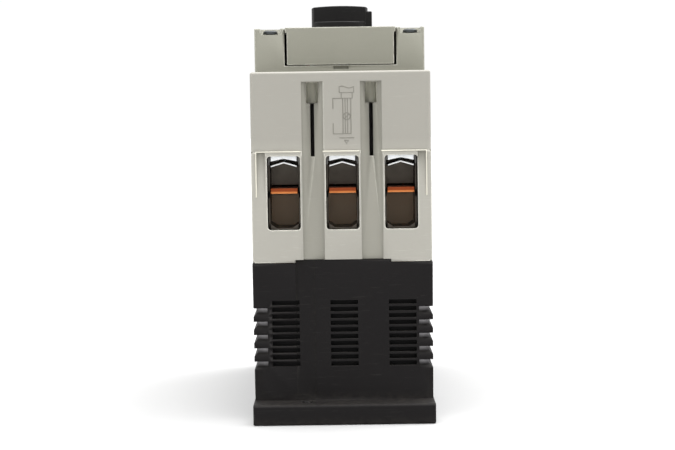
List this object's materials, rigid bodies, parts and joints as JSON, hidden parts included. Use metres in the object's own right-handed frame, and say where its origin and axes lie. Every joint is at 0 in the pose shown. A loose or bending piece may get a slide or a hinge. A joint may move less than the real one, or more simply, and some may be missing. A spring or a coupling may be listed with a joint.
{
  "type": "motor protection breaker",
  "caption": "Tall narrow motor protection breaker: dark vented base with rail foot, light housing with box terminals at both ends, stepped front cover and rotary handle.",
  "frame": {"origin": "middle of the mounting face, under the middle of the whole breaker", "axes": "+X across the poles, +Y from the line side to the load side, +Z from the mounting face to the handle"},
  "size_m": [0.07, 0.165, 0.1638],
  "materials": {
    "dark_plastic": "fine moulded anthracite thermoset",
    "light_plastic": "fine moulded warm light grey",
    "cover_plastic": "fine moulded warm grey, slightly darker",
    "black_plastic": "satin black",
    "white_plastic": "satin off-white",
    "red_plastic": "smooth red",
    "inner_plastic": "brown thermoset",
    "copper": "bare rolled copper",
    "zinc_steel": "bright zinc plated",
    "dark_steel": "dull zinc plated"
  },
  "bodies": {
    "root": {"base_housing": "dark_plastic", "middle_housing": "light_plastic", "terminal_block_line": "light_plastic", "terminal_block_load": "light_plastic", "front_cover": "cover_plastic", "rating_label": "white_plastic", "switch_lock_frame": "zinc_steel", "cover_screw_1": "zinc_steel", "cover_screw_2": "zinc_steel", "cover_screw_3": "zinc_steel", "cover_screw_4": "zinc_steel", "line_bar_1": "copper", "line_bar_2": "copper", "line_bar_3": "copper", "load_bar_1": "copper", "load_bar_2": "copper", "load_bar_3": "copper", "arc_chute_1": "dark_steel", "arc_chute_2": "dark_steel", "arc_chute_3": "dark_steel", "trip_coil_1": "copper", "trip_coil_2": "copper", "trip_coil_3": "copper", "bimetal_1": "dark_steel", "bimetal_2": "dark_steel", "bimetal_3": "dark_steel"},
    "handle": {"rotary_handle": "black_plastic", "handle_shaft": "zinc_steel"},
    "lock_tab": {"handle_lock_tab": "zinc_steel"},
    "contacts": {"contact_carrier": "inner_plastic", "contact_bridge_1": "copper", "contact_bridge_2": "copper", "contact_bridge_3": "copper"},
    "dial": {"setting_dial": "white_plastic"},
    "test_key": {"test_button": "red_plastic"},
    "trip_shaft": {"trip_bar": "inner_plastic"},
    "aux_panel": {"aux_slot_cover": "cover_plastic"},
    "latch": {"rail_latch": "black_plastic"},
    "trip_plunger_1": {"plunger_1": "dark_steel"},
    "trip_plunger_2": {"plunger_2": "dark_steel"},
    "trip_plunger_3": {"plunger_3": "dark_steel"},
    "cage_line_1": {"clamp_cage_line_1": "dark_steel"},
    "plate_line_1": {"pressure_plate_line_1": "zinc_steel"},
    "screw_line_1": {"clamp_screw_line_1": "zinc_steel"},
    "cage_line_2": {"clamp_cage_line_2": "dark_steel"},
    "plate_line_2": {"pressure_plate_line_2": "zinc_steel"},
    "screw_line_2": {"clamp_screw_line_2": "zinc_steel"},
    "cage_line_3": {"clamp_cage_line_3": "dark_steel"},
    "plate_line_3": {"pressure_plate_line_3": "zinc_steel"},
    "screw_line_3": {"clamp_screw_line_3": "zinc_steel"},
    "cage_load_1": {"clamp_cage_load_1": "dark_steel"},
    "plate_load_1": {"pressure_plate_load_1": "zinc_steel"},
    "screw_load_1": {"clamp_screw_load_1": "zinc_steel"},
    "cage_load_2": {"clamp_cage_load_2": "dark_steel"},
    "plate_load_2": {"pressure_plate_load_2": "zinc_steel"},
    "screw_load_2": {"clamp_screw_load_2": "zinc_steel"},
    "cage_load_3": {"clamp_cage_load_3": "dark_steel"},
    "plate_load_3": {"pressure_plate_load_3": "zinc_steel"},
    "screw_load_3": {"clamp_screw_load_3": "zinc_steel"}
  },
  "joints": [
    {"name": "handle_turn", "type": "hinge", "parent": "root", "child": "handle", "pos_m": [0.0004, 0, 0.155], "axis": [0, 0, -1], "range_deg": [0, 90]},
    {"name": "contacts_close", "type": "slide", "parent": "root", "child": "contacts", "axis": [0, 0, -1], "range_m": [0, 0.006]},
    {"name": "lock_tab_pull", "type": "slide", "parent": "handle", "child": "lock_tab", "axis": [1, 0, 0], "range_m": [0, 0.008]},
    {"name": "dial_turn", "type": "hinge", "parent": "root", "child": "dial", "pos_m": [0.0145, 0.025, 0.15], "axis": [0, 0, -1], "range_deg": [-135, 135]},
    {"name": "test_press", "type": "slide", "parent": "root", "child": "test_key", "axis": [0, 0, -1], "range_m": [0, 0.0015], "stiffness_N_per_m": 400, "springref_m": -0.0005},
    {"name": "trip_shaft_turn", "type": "hinge", "parent": "root", "child": "trip_shaft", "pos_m": [0.0004, 0.027, 0.096], "axis": [-1, 0, 0], "range_deg": [0, 12.1]},
    {"name": "aux_panel_off", "type": "slide", "parent": "root", "child": "aux_panel", "axis": [0, -1, 0], "range_m": [0, 0.014]},
    {"name": "latch_pull", "type": "slide", "parent": "root", "child": "latch", "axis": [0, 1, 0], "range_m": [0, 0.004], "stiffness_N_per_m": 1500, "springref_m": -0.001},
    {"name": "plunger_1_lift", "type": "slide", "parent": "root", "child": "trip_plunger_1", "axis": [0, 0, 1], "range_m": [0, 0.003], "stiffness_N_per_m": 500, "springref_m": -0.0005},
    {"name": "plunger_2_lift", "type": "slide", "parent": "root", "child": "trip_plunger_2", "axis": [0, 0, 1], "range_m": [0, 0.003], "stiffness_N_per_m": 500, "springref_m": -0.0005},
    {"name": "plunger_3_lift", "type": "slide", "parent": "root", "child": "trip_plunger_3", "axis": [0, 0, 1], "range_m": [0, 0.003], "stiffness_N_per_m": 500, "springref_m": -0.0005},
    {"name": "plate_line_1_down", "type": "slide", "parent": "root", "child": "plate_line_1", "axis": [0, 0, -1], "range_m": [0, 0.00735]},
    {"name": "screw_line_1_turn", "type": "hinge", "parent": "plate_line_1", "child": "screw_line_1", "pos_m": [-0.0223, -0.058, 0.114], "axis": [0, 0, -1], "range_deg": [0, 5400]},
    {"name": "cage_line_1_up", "type": "slide", "parent": "root", "child": "cage_line_1", "axis": [0, 0, 1], "range_m": [0, 0.0114]},
    {"name": "plate_line_2_down", "type": "slide", "parent": "root", "child": "plate_line_2", "axis": [0, 0, -1], "range_m": [0, 0.00735]},
    {"name": "screw_line_2_turn", "type": "hinge", "parent": "plate_line_2", "child": "screw_line_2", "pos_m": [0.0004, -0.058, 0.114], "axis": [0, 0, -1], "range_deg": [0, 5400]},
    {"name": "cage_line_2_up", "type": "slide", "parent": "root", "child": "cage_line_2", "axis": [0, 0, 1], "range_m": [0, 0.0114]},
    {"name": "plate_line_3_down", "type": "slide", "parent": "root", "child": "plate_line_3", "axis": [0, 0, -1], "range_m": [0, 0.00735]},
    {"name": "screw_line_3_turn", "type": "hinge", "parent": "plate_line_3", "child": "screw_line_3", "pos_m": [0.0231, -0.058, 0.114], "axis": [0, 0, -1], "range_deg": [0, 5400]},
    {"name": "cage_line_3_up", "type": "slide", "parent": "root", "child": "cage_line_3", "axis": [0, 0, 1], "range_m": [0, 0.0114]},
    {"name": "plate_load_1_down", "type": "slide", "parent": "root", "child": "plate_load_1", "axis": [0, 0, -1], "range_m": [0, 0.00735]},
    {"name": "screw_load_1_turn", "type": "hinge", "parent": "plate_load_1", "child": "screw_load_1", "pos_m": [-0.0223, 0.058, 0.114], "axis": [0, 0, -1], "range_deg": [0, 5400]},
    {"name": "cage_load_1_up", "type": "slide", "parent": "root", "child": "cage_load_1", "axis": [0, 0, 1], "range_m": [0, 0.0114]},
    {"name": "plate_load_2_down", "type": "slide", "parent": "root", "child": "plate_load_2", "axis": [0, 0, -1], "range_m": [0, 0.00735]},
    {"name": "screw_load_2_turn", "type": "hinge", "parent": "plate_load_2", "child": "screw_load_2", "pos_m": [0.0004, 0.058, 0.114], "axis": [0, 0, -1], "range_deg": [0, 5400]},
    {"name": "cage_load_2_up", "type": "slide", "parent": "root", "child": "cage_load_2", "axis": [0, 0, 1], "range_m": [0, 0.0114]},
    {"name": "plate_load_3_down", "type": "slide", "parent": "root", "child": "plate_load_3", "axis": [0, 0, -1], "range_m": [0, 0.00735]},
    {"name": "screw_load_3_turn", "type": "hinge", "parent": "plate_load_3", "child": "screw_load_3", "pos_m": [0.0231, 0.058, 0.114], "axis": [0, 0, -1], "range_deg": [0, 5400]},
    {"name": "cage_load_3_up", "type": "slide", "parent": "root", "child": "cage_load_3", "axis": [0, 0, 1], "range_m": [0, 0.0114]}
  ],
  "couplings": [
    {"joint": "handle_turn", "follows": "contacts_close", "rad_per_m": 261.8},
    {"joint": "trip_shaft_turn", "follows": "test_press", "rad_per_m": 139.63},
    {"joint": "screw_line_1_turn", "follows": "plate_line_1_down", "rad_per_m": 12823},
    {"joint": "cage_line_1_up", "follows": "plate_line_1_down", "ratio": 1.551},
    {"joint": "screw_line_2_turn", "follows": "plate_line_2_down", "rad_per_m": 12823},
    {"joint": "cage_line_2_up", "follows": "plate_line_2_down", "ratio": 1.551},
    {"joint": "screw_line_3_turn", "follows": "plate_line_3_down", "rad_per_m": 12823},
    {"joint": "cage_line_3_up", "follows": "plate_line_3_down", "ratio": 1.551},
    {"joint": "screw_load_1_turn", "follows": "plate_load_1_down", "rad_per_m": 12823},
    {"joint": "cage_load_1_up", "follows": "plate_load_1_down", "ratio": 1.551},
    {"joint": "screw_load_2_turn", "follows": "plate_load_2_down", "rad_per_m": 12823},
    {"joint": "cage_load_2_up", "follows": "plate_load_2_down", "ratio": 1.551},
    {"joint": "screw_load_3_turn", "follows": "plate_load_3_down", "rad_per_m": 12823},
    {"joint": "cage_load_3_up", "follows": "plate_load_3_down", "ratio": 1.551}
  ]
}
